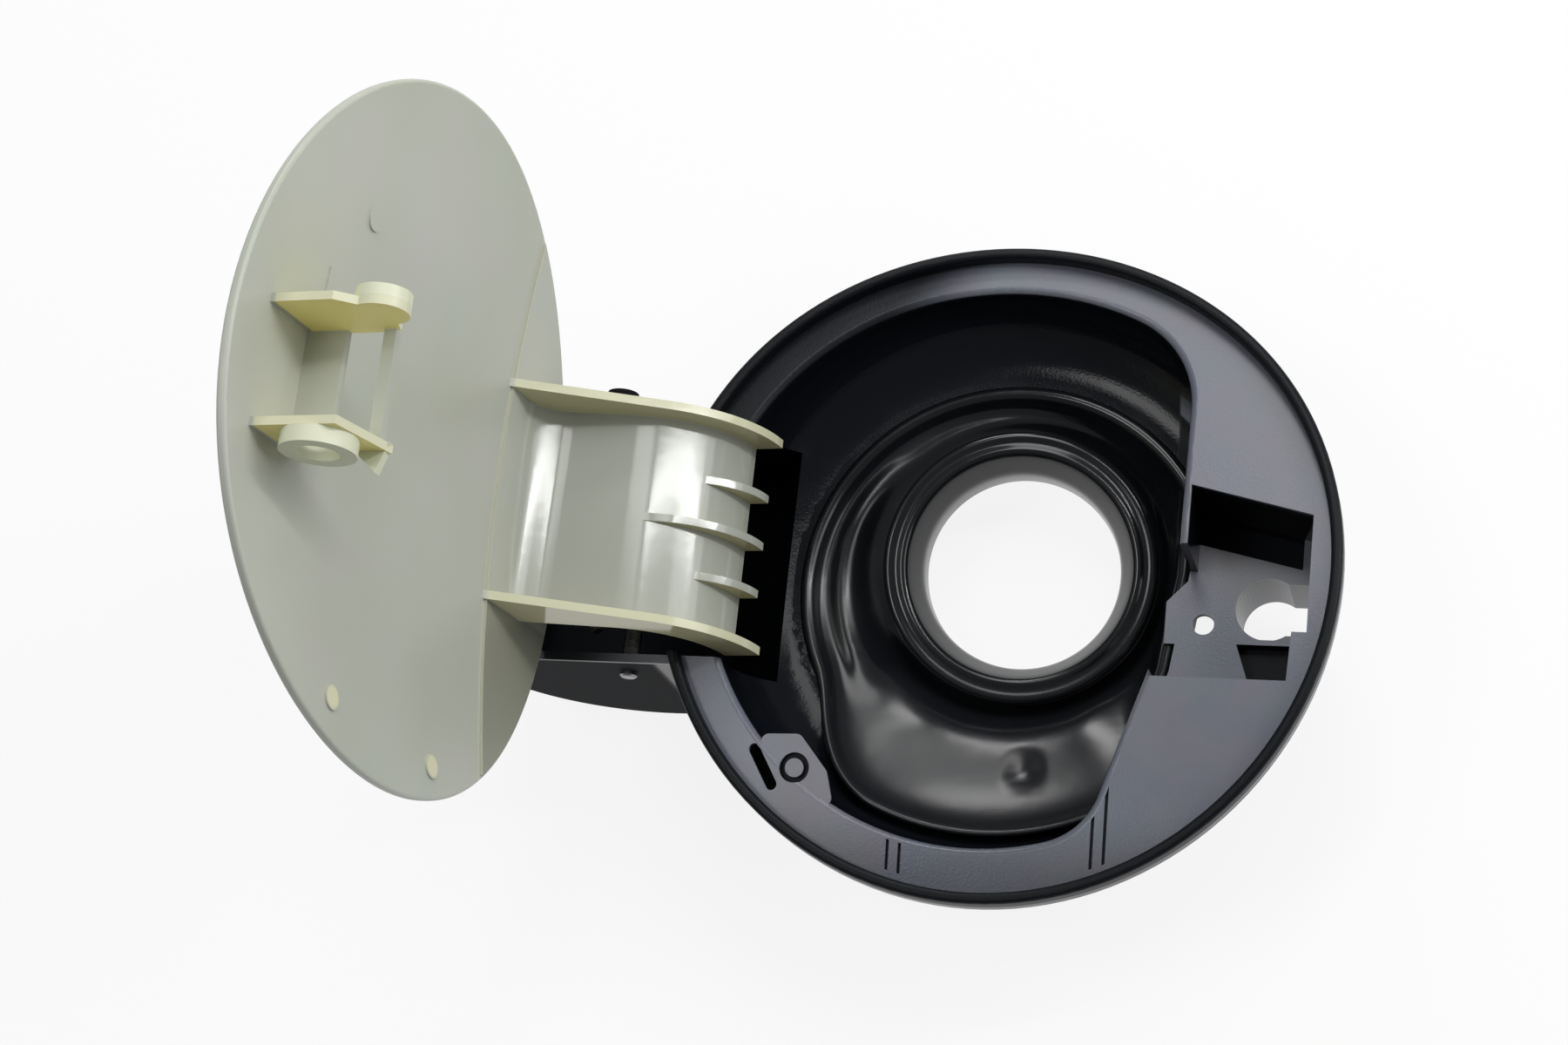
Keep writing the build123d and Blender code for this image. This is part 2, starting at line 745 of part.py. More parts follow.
# Skirt of the boot, up the bowl's lower wall
skirt_form = bowl_solid(-fit_gap, bowl_foot_z)
skirt_hollow = bowl_solid(-fit_gap - boot_thick, bowl_foot_z)
with BuildPart() as skirt:
    add(skirt_form)
    add(skirt_hollow, mode=Mode.SUBTRACT)
    with BuildSketch(Plane.XY.offset(band_top_z)):
        with BuildLine():
            Polyline(
                (skirt_left_x, skirt_left_y),
                (bowl_knee_x, bowl_knee_y),
                (bowl_knee_x, -skin_reach),
                (skirt_left_x - bowl_radius, -skin_reach),
                (skirt_left_x - bowl_radius, skirt_left_y),
                close=True,
            )
        make_face()
        with Locations((bowl_x, bowl_y)):
            Circle(bowl_seat_radius - fit_gap - boot_thick, mode=Mode.SUBTRACT)
    extrude(amount=skirt_top_z - band_top_z, mode=Mode.INTERSECT)

collar_wall_top = mouth_rise - collar_lip_thick
with BuildPart() as filler_boot:
    with BuildSketch(Plane.XY.offset(band_foot_z)):
        add(bowl_sketch(bowl_seat_radius, -fit_gap))
        add(bowl_sketch(bowl_seat_radius, -fit_gap - boot_thick), mode=Mode.SUBTRACT)
    extrude(amount=band_top_z - band_foot_z)
    add(funnel.part)
    add(skirt.part)
    with BuildSketch(neck_section):
        with BuildLine():
            Polyline(
                (neck_radius, -sleeve_length),
                (neck_radius, boot_thick),
                (mouth_radius, mouth_rise),
                (collar_lip_radius, mouth_rise),
                (collar_lip_radius, collar_wall_top),
                (mouth_radius + boot_thick, collar_wall_top),
                (neck_radius + boot_thick, boot_thick),
                (neck_radius + boot_thick, -sleeve_length),
                close=True,
            )
        make_face()
    revolve(axis=Axis(neck_plane.origin, neck_plane.z_dir))
    with BuildSketch(neck_plane):
        Circle(neck_radius)
    extrude(amount=mouth_rise, both=True, mode=Mode.SUBTRACT)
filler_boot.part.label = "filler_boot"
export_step(filler_boot.part, "parts/filler_boot.step")

# Hinge pin through the bay's end walls and the hub, with its head at the top
pin_top_y = bay_high_y + bay_wall
with BuildPart() as hinge_pin:
    with BuildSketch(Plane.XZ.offset(-pin_top_y)):
        with Locations((hinge_x, hinge_z)):
            Circle(pin_radius)
    extrude(amount=pin_top_y - bay_low_y + bay_wall + pin_end)
    with BuildSketch(Plane.XZ.offset(-pin_top_y - pin_head_thick)):
        with Locations((hinge_x, hinge_z)):
            Circle(pin_head_radius)
    extrude(amount=pin_head_thick)
    fillet(hinge_pin.faces().sort_by(Axis.Y)[-1].edges(), radius=pin_head_thick / 2)
    chamfer(hinge_pin.faces().sort_by(Axis.Y)[0].edges(), length=pin_end / 3)
hinge_pin.part.label = "hinge_pin"
export_step(hinge_pin.part, "parts/hinge_pin.step")

# Hinge spring: three runs along the hinge axis, joined by round bends
lean = radians(spring_angle)
spring_plane = Plane(
    origin=(hinge_x, spring_mid_y, hinge_z), x_dir=(cos(lean), 0, sin(lean)), z_dir=(-sin(lean), 0, cos(lean))
)
half_run = (spring_run - spring_pitch) / 2
spring_middle = spring_near + spring_pitch
with BuildPart() as hinge_spring:
    with BuildLine(spring_plane) as wire:
        Line((spring_near, -half_run), (spring_near, half_run))
        CenterArc((spring_near + spring_pitch / 2, half_run), spring_pitch / 2, 180, -180)
        Line((spring_middle, half_run), (spring_middle, -half_run))
        CenterArc((spring_middle + spring_pitch / 2, -half_run), spring_pitch / 2, 180, 180)
        Line((spring_far, -half_run), (spring_far, half_run))
    wire_start = spring_plane.from_local_coords((spring_near, -half_run, 0))
    with BuildSketch(Plane(origin=wire_start, z_dir=(0, 1, 0))):
        Circle(wire_radius)
    sweep(path=wire.line)
hinge_spring.part.label = "hinge_spring"
export_step(hinge_spring.part, "parts/hinge_spring.step")
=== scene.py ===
"""Looks of the car fuel door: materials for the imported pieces, the soft filler boot, light and camera."""

import json
import math

import bmesh
import bpy
from mathutils import Matrix, Vector


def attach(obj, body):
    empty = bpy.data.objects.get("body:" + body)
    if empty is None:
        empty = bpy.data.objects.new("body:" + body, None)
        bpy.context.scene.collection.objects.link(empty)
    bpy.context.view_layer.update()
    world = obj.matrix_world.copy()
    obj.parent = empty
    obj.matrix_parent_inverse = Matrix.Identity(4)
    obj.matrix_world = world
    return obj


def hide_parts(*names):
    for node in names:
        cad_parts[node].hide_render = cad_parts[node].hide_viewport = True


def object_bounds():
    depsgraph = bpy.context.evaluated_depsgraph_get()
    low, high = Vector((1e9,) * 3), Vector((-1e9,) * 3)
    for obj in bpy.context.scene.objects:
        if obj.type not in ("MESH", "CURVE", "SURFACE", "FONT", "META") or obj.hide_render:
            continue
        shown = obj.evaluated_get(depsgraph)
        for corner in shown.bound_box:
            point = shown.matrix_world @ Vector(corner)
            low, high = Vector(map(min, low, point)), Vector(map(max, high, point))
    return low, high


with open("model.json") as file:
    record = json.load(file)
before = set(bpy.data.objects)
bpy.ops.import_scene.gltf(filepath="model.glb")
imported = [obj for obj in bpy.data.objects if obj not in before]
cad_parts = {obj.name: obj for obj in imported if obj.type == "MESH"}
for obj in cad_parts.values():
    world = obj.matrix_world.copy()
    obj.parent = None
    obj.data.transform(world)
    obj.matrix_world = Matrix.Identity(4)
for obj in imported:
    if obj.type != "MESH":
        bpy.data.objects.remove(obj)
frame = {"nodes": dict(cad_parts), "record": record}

cad_low, cad_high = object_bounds()

MM = 0.001

# Body skin that the flange and the flap follow: a large cylinder under the origin
SKIN_RADIUS = 490 * MM
SKIN_CENTRE = Vector((0, 0, -SKIN_RADIUS))
SKIN_AXIS = Vector((math.cos(math.radians(10)), -math.sin(math.radians(10)), 0))
FLANGE_DEPTH = 5.0 * MM
FLAP_LIFT = 3.2 * MM
SAME_AS_SKIN = (0.993, 0.996)

# Widths over which one finish turns into the next
SOFT_EDGE = 0.3 * MM
WIDE_EDGE = 1.0 * MM
NOISE_RANGE = (0.3, 0.7)

# Where the flange's satin ends below its top, and where the black lip begins above it
FLANGE_END = (0.9 * MM, 1.6 * MM)
LIP_START = (0.3 * MM, 0.9 * MM)

# Floor of the latch recess, beside the bowl, and where the pockets begin below it
LEDGE_X = 43.5 * MM
LATCH_FLOOR_Z = -31.5 * MM
POCKET_START = (0.6 * MM, 0.2 * MM)
UPWARD = (0.7, 0.9)

# Back of the hinge bay, and the sectors of the flange darkened with painted shade
BAY_BACK_X = (-93.0 * MM, -96.0 * MM)
SHADE_HEADING = (-0.8, 0.6, 0)
SHADE_SECTOR = (56.0 * MM, 76.0 * MM)
SHADE_FOOT_Y = (-66.0 * MM, -90.0 * MM)
SHADE_FOOT_SHARE = 0.5

# Screw tab on the flange, with its ring and the slot beside it, in millimetres
TAB_X = -51.4
TAB_Y = -59.4
RING_RADIUS = 4.2
SLOT_X = -60.2
SLOT_Y = -59.6
SLOT_TURN = math.radians(-60)
SLOT_HALF_RUN = 5.4
SLOT_RADIUS = 1.6
SLOT_ZONE = (8.9, 8.4)
SLOT_STEPS = 48

# Section of the slot's pocket: how far past the slot, and depth under the skin, in millimetres
SLOT_SECTION = ((-0.3, 14.0), (0.0, 7.45), (1.2, 7.45), (0.9, 15.2))

# Keyhole in the latch floor and the wall round it, in millimetres
KEY_X = 72.2
KEY_Y = -3.2
KEY_RADIUS = 9.0
KEY_SLOT_HALF = 7.4
KEY_SLOT_END_X = 84.6
KEY_TOP_Z = -33.95
KEY_FOOT_Z = -54.0
KEY_ZONE_X = 60.0
KEY_WALL = 1.4
KEY_INNER_FACE = 0.2
KEY_SIDE_LIMIT = 0.8
KEY_END_LIMIT = 0.6
KEY_CORNER_LEAN = 0.7
KEY_STEPS = 32

# Colours of the housing's plastic: four tints of the satin flange, lightened in part as painted sheen, the
# painted shade of its darker sectors, and the gloss
FLANGE_BLUE = (0.100, 0.114, 0.155, 1)
FLANGE_GREY = (0.142, 0.140, 0.152, 1)
FLANGE_VIOLET = (0.135, 0.116, 0.150, 1)
FLANGE_GREEN = (0.100, 0.134, 0.146, 1)
FLANGE_PAINTED_SHADE = (0.012, 0.013, 0.016, 1)
GLOSS_BLACK = (0.004, 0.005, 0.007, 1)
FLANGE_TINT_SHARE = 0.6

# Roughness and sheen of the housing's finishes
FLANGE_ROUGH = (0.26, 0.36)
BOWL_ROUGH = (0.12, 0.20)
DIM_ROUGH = 0.42
BAY_ROUGH = 0.72
FLANGE_SHEEN = 0.5
BOWL_SHEEN = 0.2
LIP_SHEEN = 0.15
DIM_SHEEN = 0.1

# Middles of the thin walls of the flap's arm and, above it, of the striker bracket
ARM_WALLS_Y = (-26.3 * MM, 34.8 * MM)
BRACKET_WALLS_Y = (-23.1 * MM, 8.3 * MM)
THIN_WALL_HALF = 1.2 * MM
ARM_TOP_Z = 70.0 * MM

# Distances off the disc's inner face, where the arm and bracket stand and where the inside begins
STANDS_OFF = (0.8 * MM, 1.6 * MM)
INSIDE_OFF = (-1.0 * MM, -0.5 * MM)

# Step on the shut flap's inner face, along Y, with a painted highlight along it and painted shade on its
# hinge side below the arm
STEP_X = -50.0 * MM
STEP_EDGE = 0.2 * MM
STEP_LINE_HALF = 0.6 * MM
STEP_LINE_SHARE = 0.7

# Ejector marks on the shut flap, lightened with a painted highlight, in millimetres
PALE_MARKS = ((30.0, -77.0), (-22.0, -81.0))
PALE_MARK_RADIUS = 3.2
PALE_MARK_FADE = 0.8

# Colours of the flap's plastic
FLAP_GREEN = (0.40, 0.42, 0.335, 1)
FLAP_GREY = (0.455, 0.468, 0.41, 1)
FLAP_WARM = (0.46, 0.45, 0.44, 1)
FLAP_COOL = (0.40, 0.45, 0.40, 1)
FLAP_TINT_SHARE = 0.4
# Painted shade on the hinge side below the arm, and the painted highlight along the step
HINGE_SIDE_SHADE = (0.25, 0.255, 0.20, 1)
STEP_HIGHLIGHT = (0.50, 0.50, 0.39, 1)
# Painted highlight on the ejector marks
MARK_HIGHLIGHT = (0.64, 0.62, 0.42, 1)
# The arm's plastic, painted darker than the disc's as painted shade
ARM_SHADE_GREY = (0.36, 0.375, 0.325, 1)
WALL_CREAM = (0.64, 0.63, 0.42, 1)
WALL_CREAM_SHARE = 0.8
# Yellow of the sideways faces: the plastic's own yellow, brightened with painted light, most on the fins'
# shaded undersides
ARM_SIDE_YELLOW_AND_PAINTED_LIGHT = (0.60, 0.56, 0.33, 1)
FIN_YELLOW_AND_PAINTED_LIGHT = (0.92, 0.82, 0.30, 1)
BOSS_CREAM = (0.62, 0.64, 0.47, 1)

# Faces that look along the hinge take the side colours, to this share: the plastic's own yellow, brightened
# with painted light where these faces lie in shade
SIDEWAYS = (0.75, 0.95)
SIDE_SHARE = 0.9

# Roughness of the flap's disc and of its glossier arm
FLAP_ROUGH = (0.34, 0.42)
ARM_ROUGH = 0.12

# Rubber of the boot, duller on its lower side
RUBBER_DEEP = (0.003, 0.004, 0.005, 1)
RUBBER_LIGHT = (0.008, 0.009, 0.011, 1)
RUBBER_ROUGH = (0.14, 0.24)
RUBBER_LOW_ROUGH = 0.27
RUBBER_LOW_Y = (-15.0 * MM, -55.0 * MM)
RUBBER_SHEEN = 0.42

# Bright and dark lines of the steels
PIN_TONES = ((0.30, 0.30, 0.31, 1), (0.18, 0.18, 0.19, 1))
SPRING_TONES = ((0.62, 0.57, 0.48, 1), (0.42, 0.38, 0.32, 1))
STEEL_ROUGH = (0.25, 0.45)

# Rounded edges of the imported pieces
HOUSING_EDGE = 0.35 * MM
FLAP_EDGE = 0.45 * MM
EDGE_ANGLE = math.radians(40)
WELD_REACH = 0.002 * MM

# Bowl outline and the seat of the boot, in millimetres
BOWL_X = -1.4
BOWL_Y = 1.6
SEAT_RADIUS = 59.4
WALL_RADIUS = 78.6
UPRIGHT_MARGIN = 0.5
FLAT_X = 49.4
KNEE_X = 45.4
KNEE_Y = -22.0
KNEE_TOP_Y = 7.0
KNEE_RUN = (FLAT_X - KNEE_X) / (KNEE_TOP_Y - KNEE_Y)
SLANT = math.tan(math.radians(18))
BAND_FOOT_Z = -45.7
BAND_TOP_Z = -34.6

# Sides that cut the bowl's round outline: a point on each, and how far X runs with Y
BOWL_SIDES = ((FLAT_X, KNEE_TOP_Y, 0.0), (KNEE_X, KNEE_Y, KNEE_RUN), (KNEE_X, KNEE_Y, SLANT))
LEAST_FACING = 0.01

# Headings, in degrees, where the boot climbs the lower wall and where it has its fold
LOWER_START = (205, 245)
LOWER_END = (300, 330)
FOLD_START = (130, 165)
FOLD_END = (205, 235)

# Boot's rolled edge: inset from the seat and height, then share of the way to the lower wall and height
EDGE_ROWS = ((0.4, -33.6, 0.78, -24.0), (1.6, -33.2, 0.74, -23.8), (2.8, -34.2, 0.68, -24.6))

# Boot between its edge and the valley round the collar, in millimetres and shares of the way in
OUTER_INSET = 4.0
OUTER_Z = -37.0
TOP_SHARE = 0.22
MIDDLE_SHARE = 0.45
INNER_SHARE = 0.72
FOLD_RISE = 4.5
FOLD_DIP = 1.5
INNER_RISE = 1.0

# Bulge on the lower side, in millimetres and shares
BULGE_OUTER_SHARE = 0.48
BULGE_OUTER_Z = -28.2
BULGE_TOP_INSET = 1.0
BULGE_TOP_Z = -32.6
BULGE_INNER_INSET = 13.0
BULGE_INNER_Z = -36.3
SHOULDER_SHARE = 0.5
SHOULDER_DROP = 3.4

# Collar round the filler neck, in millimetres
NECK = Vector((0, 10, -47))
NECK_AXIS = Vector((0.10, -0.15, 1)).normalized()
VALLEY_RADIUS = 41.5
VALLEY_HEIGHT = 0.6

# Collar's section from the valley over its two rings to the sleeve's end: radius and height
COLLAR = (
    (37.0, 0.8),
    (35.6, 3.0),
    (35.4, 7.4),
    (38.3, 8.0),
    (38.6, 9.6),
    (37.6, 10.8),
    (36.2, 10.2),
    (34.6, 10.4),
    (33.4, 11.2),
    (32.4, 10.4),
    (29.4, 3.4),
    (28.6, 1.6),
    (28.6, -7.8),
)

# Boot's mesh, its thickness and the dimple in its lower side
RING_STEPS = 120
SMOOTH_LEVELS = 2
BOOT_WALL = 1.4 * MM
DIMPLE = Vector((7.7, -52.1, -34.0))
DIMPLE_RADIUS = 7.5
DIMPLE_DEPTH = 1.6

# Floor under the object, in metres
FLOOR_GAP = 0.5 * MM
FLOOR_RADIUS = 8.0
FLOOR_GREY = (0.86, 0.86, 0.86, 1)
FLOOR_WHITE_SHARE = 0.86

# Soft boxes: place and aim, width and height in metres, and the brightness that their surface shows
MIDDLE = (-0.04, 0, 0.02)
LAMPS = {
    "overhead": ((0.05, 0.85, 1.30), MIDDLE, 0.45, 0.95, 4.5),
    "left_top": ((-0.60, -0.05, 1.30), MIDDLE, 0.45, 0.45, 6.0),
    "window": ((0.49, 0.295, 0.636), (-0.089, 0.295, 0.009), 0.035, 0.84, 30.0),
    "back": ((-0.28, 1.25, 0.74), MIDDLE, 0.5, 0.18, 16.0),
    "right_fill": ((1.40, 0.30, 0.70), MIDDLE, 1.2, 0.9, 2.7),
}
ROOM_GREY = (0.22, 0.225, 0.235, 1)

# Camera at the photo's place and angle, with its lens in millimetres
CAMERA_PLACE = Vector((166.4, -258.8, 825.4)) * MM
CAMERA_RIGHT = Vector((0.96738, 0.10589, -0.23015))
CAMERA_UP = Vector((-0.02911, 0.94891, 0.31419))
CAMERA_LENS = 74.24
CAMERA_SENSOR = 36.0


def material(name):
    """A new node material, with its Principled shader and its object coordinates."""
    made = bpy.data.materials.new(name)
    made.use_nodes = True
    shader = made.node_tree.nodes["Principled BSDF"]
    place = made.node_tree.nodes.new("ShaderNodeTexCoord").outputs["Object"]
    return made, shader, place


def add_node(made, kind, links=(), **settings):
    """A node of that kind, with its settings, and its inputs linked or set by name or number."""
    node = made.node_tree.nodes.new(kind)
    for key, value in settings.items():
        setattr(node, key, value)
    for key, value in dict(links).items():
        if isinstance(value, bpy.types.NodeSocket):
            made.node_tree.links.new(value, node.inputs[key])
        else:
            node.inputs[key].default_value = value
    return node


def math_node(made, operation, first, second=0.0):
    """The result of a sum on two values."""
    return add_node(made, "ShaderNodeMath", {0: first, 1: second}, operation=operation).outputs[0]


def both(made, first, second):
    """The share that two masks have together."""
    return math_node(made, "MULTIPLY", first, second)


def either(made, first, second):
    """The larger of two masks."""
    return math_node(made, "MAXIMUM", first, second)


def apart_from(made, mask):
    """The share that a mask leaves."""
    return math_node(made, "SUBTRACT", 1.0, mask)


def ramp(made, value, low, high, start=0.0, end=1.0):
    """The value carried smoothly from low and high to start and end."""
    links = {"Value": value, 1: low, 2: high, 3: start, 4: end}
    return add_node(made, "ShaderNodeMapRange", links, interpolation_type="SMOOTHSTEP").outputs[0]


def spread(made, value, low, high, start=0.0, end=1.0):
    """The value carried evenly from low and high to start and end."""
    links = {"Value": value, 1: low, 2: high, 3: start, 4: end}
    return add_node(made, "ShaderNodeMapRange", links).outputs[0]


def varied(made, value, start=0.0, end=1.0):
    """A noise value carried evenly to start and end."""
    return spread(made, value, *NOISE_RANGE, start, end)


def coordinates(made, place):
    """The place's X, Y and Z, by name."""
    return add_node(made, "ShaderNodeSeparateXYZ", {0: place}).outputs


def facing(made, axis):
    """How far the surface faces along an axis of the object."""
    normal = add_node(made, "ShaderNodeTexCoord").outputs["Normal"]
    return coordinates(made, normal)[axis]


def noise(made, place, scale, detail=3.0):
    """A soft noise value about 0.5."""
    links = {"Vector": place, "Scale": scale, "Detail": detail, "Roughness": 0.5}
    return add_node(made, "ShaderNodeTexNoise", links).outputs[0]


def mix_colour(made, factor, first, second):
    """A colour between two colours."""
    node = add_node(made, "ShaderNodeMix", {0: factor, 6: first, 7: second}, data_type="RGBA")
    return node.outputs[2]


def tinted(made, tone, tint, share, high_tone, low_tone):
    """The tone, shifted to one colour where the tint's noise is high and to another where it is low."""
    tone = mix_colour(made, spread(made, tint, 0.5, 0.8, 0.0, share), tone, high_tone)
    return mix_colour(made, spread(made, tint, 0.5, 0.2, 0.0, share), tone, low_tone)


def bump(made, shader, height, strength, distance, normal=None):
    """Fine relief on the shader's normal, or on the normal that is given."""
    node = add_node(made, "ShaderNodeBump", {"Height": height, "Strength": strength, "Distance": distance})
    if normal:
        made.node_tree.links.new(normal, node.inputs["Normal"])
    made.node_tree.links.new(node.outputs[0], shader.inputs["Normal"])


def vector_node(made, operation, first, second=(0, 0, 0), output=0):
    """The result of a sum on two vectors."""
    return add_node(made, "ShaderNodeVectorMath", {0: first, 1: second}, operation=operation).outputs[output]


def scaled(made, vector, scale):
    """The vector times a value."""
    return add_node(made, "ShaderNodeVectorMath", {0: vector, "Scale": scale}, operation="SCALE").outputs[0]


def mix_value(made, factor, first, second):
    """A value between two values."""
    return add_node(made, "ShaderNodeMix", {0: factor, 2: first, 3: second}).outputs[0]


def skin_direction(made, place, centre, axis):
    """How far a point is from the skin's axis, and the direction away from it."""
    off = vector_node(made, "SUBTRACT", place, centre)
    along = vector_node(made, "DOT_PRODUCT", off, axis, "Value")
    away = vector_node(made, "SUBTRACT", off, scaled(made, axis, along))
    return vector_node(made, "LENGTH", away, output="Value"), vector_node(made, "NORMALIZE", away)


def turned_normal(made, normal, space, new_space):
    """The normal carried from one space to another."""
    settings = {"vector_type": "NORMAL", "convert_from": space, "convert_to": new_space}
    return add_node(made, "ShaderNodeVectorTransform", {0: normal}, **settings).outputs[0]


def true_normal(made, away):
    """The surface's normal, exact where it follows the skin."""
    own = add_node(made, "ShaderNodeTexCoord").outputs["Normal"]
    flat = add_node(made, "ShaderNodeNewGeometry").outputs["True Normal"]
    flat = turned_normal(made, flat, "WORLD", "OBJECT")
    agree = vector_node(made, "DOT_PRODUCT", flat, away, "Value")
    exact = scaled(made, away, math_node(made, "SIGN", agree))
    share = ramp(made, math_node(made, "ABSOLUTE", agree), *SAME_AS_SKIN)
    mixed = add_node(made, "ShaderNodeMix", {0: share, 4: own, 5: exact}, data_type="VECTOR").outputs[1]
    return turned_normal(made, mixed, "OBJECT", "WORLD")


def feed(made, shader, **sockets):
    """Links node outputs to the shader's inputs, by their names with underscores."""
    for key, value in sockets.items():
        made.node_tree.links.new(value, shader.inputs[key.replace("_", " ")])


def latch_masks(made, along):
    """Masks of the latch floor, of the wall inside the keyhole and of the pockets."""
    beside_bowl = ramp(made, along["X"], LEDGE_X, LEDGE_X + WIDE_EDGE)
    over_pocket = ramp(made, along["Z"], LATCH_FLOOR_Z - POCKET_START[0], LATCH_FLOOR_Z - POCKET_START[1])
    below_floor = apart_from(made, over_pocket)
    faces_up = ramp(made, facing(made, "Z"), *UPWARD)
    latch_floor = both(made, both(made, beside_bowl, over_pocket), faces_up)
    from_key = math_node(made, "ABSOLUTE", math_node(made, "SUBTRACT", along["Y"], KEY_Y * MM))
    key_wall = ramp(made, from_key, (KEY_RADIUS + KEY_SIDE_LIMIT) * MM, (KEY_RADIUS + KEY_INNER_FACE) * MM)
    past_zone = ramp(made, along["X"], KEY_ZONE_X * MM, KEY_ZONE_X * MM + WIDE_EDGE)
    end_outside = (KEY_SLOT_END_X + KEY_END_LIMIT) * MM
    end_inside = (KEY_SLOT_END_X + KEY_INNER_FACE) * MM
    before_end = ramp(made, along["X"], end_outside, end_inside)
    key_wall = both(made, both(made, key_wall, below_floor), both(made, past_zone, before_end))
    pockets = both(made, beside_bowl, math_node(made, "SUBTRACT", below_floor, key_wall))
    return latch_floor, key_wall, pockets


def tab_mask(made, place):
    """Mask of the screw tab's ring and of the slot beside it."""
    level = vector_node(made, "MULTIPLY", place, (1, 1, 0))
    from_tab = vector_node(made, "DISTANCE", level, (TAB_X * MM, TAB_Y * MM, 0), "Value")
    in_ring = ramp(made, from_tab, RING_RADIUS * MM + SOFT_EDGE, RING_RADIUS * MM)
    from_slot = vector_node(made, "DISTANCE", level, (SLOT_X * MM, SLOT_Y * MM, 0), "Value")
    in_slot = ramp(made, from_slot, SLOT_ZONE[0] * MM, SLOT_ZONE[1] * MM)
    return either(made, in_ring, in_slot)


def flange_tone(made, place, cloud, painted_shade_sectors):
    """The satin flange's colour, in soft patches of four tints lightened in part as painted sheen, with
    painted shade in its darker sectors.
    """
    tint = noise(made, place, scale=70.0, detail=2.0)
    tone = mix_colour(made, varied(made, cloud), FLANGE_BLUE, FLANGE_GREY)
    tone = tinted(made, tone, tint, FLANGE_TINT_SHARE, FLANGE_VIOLET, FLANGE_GREEN)
    # Painted shade in the darker sectors
    return mix_colour(made, painted_shade_sectors, tone, FLANGE_PAINTED_SHADE)


def housing_material():
    """Black moulded plastic: satin on the flange and latch floor, glossy in the bowl, dull behind the bay."""
    made, shader, place = material("housing_plastic")
    reach, away = skin_direction(made, place, SKIN_CENTRE, SKIN_AXIS)
    lift = math_node(made, "SUBTRACT", reach, SKIN_RADIUS)
    along = coordinates(made, place)
    under_flange = ramp(made, lift, -FLANGE_DEPTH - FLANGE_END[0], -FLANGE_DEPTH - FLANGE_END[1])
    on_lip = ramp(made, lift, -FLANGE_DEPTH + LIP_START[0], -FLANGE_DEPTH + LIP_START[1])
    latch_floor, key_wall, pockets = latch_masks(made, along)
    satin = either(made, either(made, apart_from(made, under_flange), latch_floor), key_wall)
    satin = both(made, satin, apart_from(made, on_lip))
    # Pockets, the tab's ring and slot and the back of the bay, where little light comes back
    behind = ramp(made, along["X"], *BAY_BACK_X)
    dim = either(made, either(made, pockets, tab_mask(made, place)), behind)
    dim = both(made, dim, under_flange)
    # Painted shade: the flange darkened in sectors where its sheen shows dark surroundings, from the hinge to
    # the top and, less so, at the foot
    painted_shade_sectors = ramp(made, vector_node(made, "DOT_PRODUCT", place, SHADE_HEADING, "Value"), *SHADE_SECTOR)
    painted_shade_sectors = either(made, painted_shade_sectors, ramp(made, along["Y"], *SHADE_FOOT_Y, 0.0, SHADE_FOOT_SHARE))
    cloud = noise(made, place, scale=26.0, detail=4.0)
    tone = mix_colour(made, satin, GLOSS_BLACK, flange_tone(made, place, cloud, painted_shade_sectors))
    dull = varied(made, noise(made, place, scale=60.0), *BOWL_ROUGH)
    dull = mix_value(made, satin, dull, varied(made, cloud, *FLANGE_ROUGH))
    dull = mix_value(made, either(made, dim, on_lip), dull, DIM_ROUGH)
    dull = mix_value(made, both(made, behind, under_flange), dull, BAY_ROUGH)
    sheen = mix_value(made, either(made, painted_shade_sectors, apart_from(made, satin)), FLANGE_SHEEN, BOWL_SHEEN)
    sheen = mix_value(made, dim, mix_value(made, on_lip, sheen, LIP_SHEEN), DIM_SHEEN)
    feed(made, shader, Base_Color=tone, Roughness=dull, Specular_IOR_Level=sheen)
    grain = noise(made, place, scale=1500.0, detail=2.0)
    grain = math_node(made, "ADD", grain, math_node(made, "MULTIPLY", cloud, 2.0))
    bump(made, shader, grain, strength=0.10, distance=0.4 * MM, normal=true_normal(made, away))
    return made


def boot_material():
    """Smooth black rubber with a soft wavy gloss."""
    made, shader, place = material("boot_rubber")
    cloud = noise(made, place, scale=35.0)
    tone = mix_colour(made, cloud, RUBBER_DEEP, RUBBER_LIGHT)
    low_side = ramp(made, coordinates(made, place)["Y"], *RUBBER_LOW_Y)
    dull = mix_value(made, low_side, ramp(made, cloud, *NOISE_RANGE, *RUBBER_ROUGH), RUBBER_LOW_ROUGH)
    feed(made, shader, Base_Color=tone, Roughness=dull)
    shader.inputs["Specular IOR Level"].default_value = RUBBER_SHEEN
    bump(made, shader, noise(made, place, scale=90.0, detail=2.0), strength=0.18, distance=0.6 * MM)
    return made


def on_skin(x, y, depth):
    """The point over x and y at that depth under the skin, in millimetres."""
    radius = SKIN_RADIUS / MM
    across = SKIN_AXIS.x * y - SKIN_AXIS.y * x
    return Vector((x, y, math.sqrt((radius - depth) ** 2 - across**2) - radius))


def flap_opening():
    """Carries a place on the shut flap to where it is on the open one."""
    joint = frame["record"]["behaviour"]["joints"][0]
    hinge = Matrix.Translation(joint["pos_m"])
    return hinge @ Matrix.Rotation(-math.radians(joint["range_deg"][1]), 4, "Y") @ hinge.inverted()


def near_walls(made, along_y, walls):
    """1 on the thin walls whose middles are given, and 0 away from them."""
    found = 0.0
    for wall_y in walls:
        off_wall = math_node(made, "ABSOLUTE", math_node(made, "SUBTRACT", along_y, wall_y))
        found = either(made, ramp(made, off_wall, THIN_WALL_HALF + SOFT_EDGE, THIN_WALL_HALF), found)
    return found


